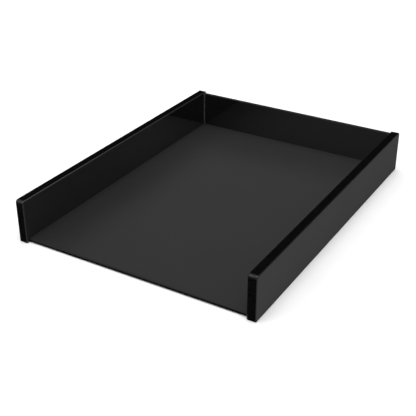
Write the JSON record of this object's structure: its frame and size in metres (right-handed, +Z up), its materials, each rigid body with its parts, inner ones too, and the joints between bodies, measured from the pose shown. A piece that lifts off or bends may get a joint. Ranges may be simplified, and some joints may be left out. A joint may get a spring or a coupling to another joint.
{
  "type": "letter tray",
  "caption": "Shallow desk tray for paper, open at the front and top: two thick upright side panels with a thin floor sheet and a thin back panel bonded between them.",
  "frame": {"origin": "on the table, under the middle of the tray: the bottom centre of its bounding box", "axes": "+Z up, +Y from the open front towards the back panel, +X towards the right side panel as seen from the front"},
  "size_m": [0.25, 0.327, 0.044],
  "materials": {
    "side_acrylic": "black cast acrylic, mirror gloss faces with polished edges",
    "floor_acrylic": "black acrylic sheet, satin face that softens reflections",
    "back_acrylic": "black cast acrylic, mirror gloss faces with a polished top edge",
    "acrylic_cement": "hardened black acrylic cement, glossy"
  },
  "bodies": {
    "root": {"left_side_panel": "side_acrylic", "right_side_panel": "side_acrylic", "floor_panel": "floor_acrylic", "back_panel": "back_acrylic", "left_corner_bead": "acrylic_cement", "right_corner_bead": "acrylic_cement"}
  },
  "joints": []
}
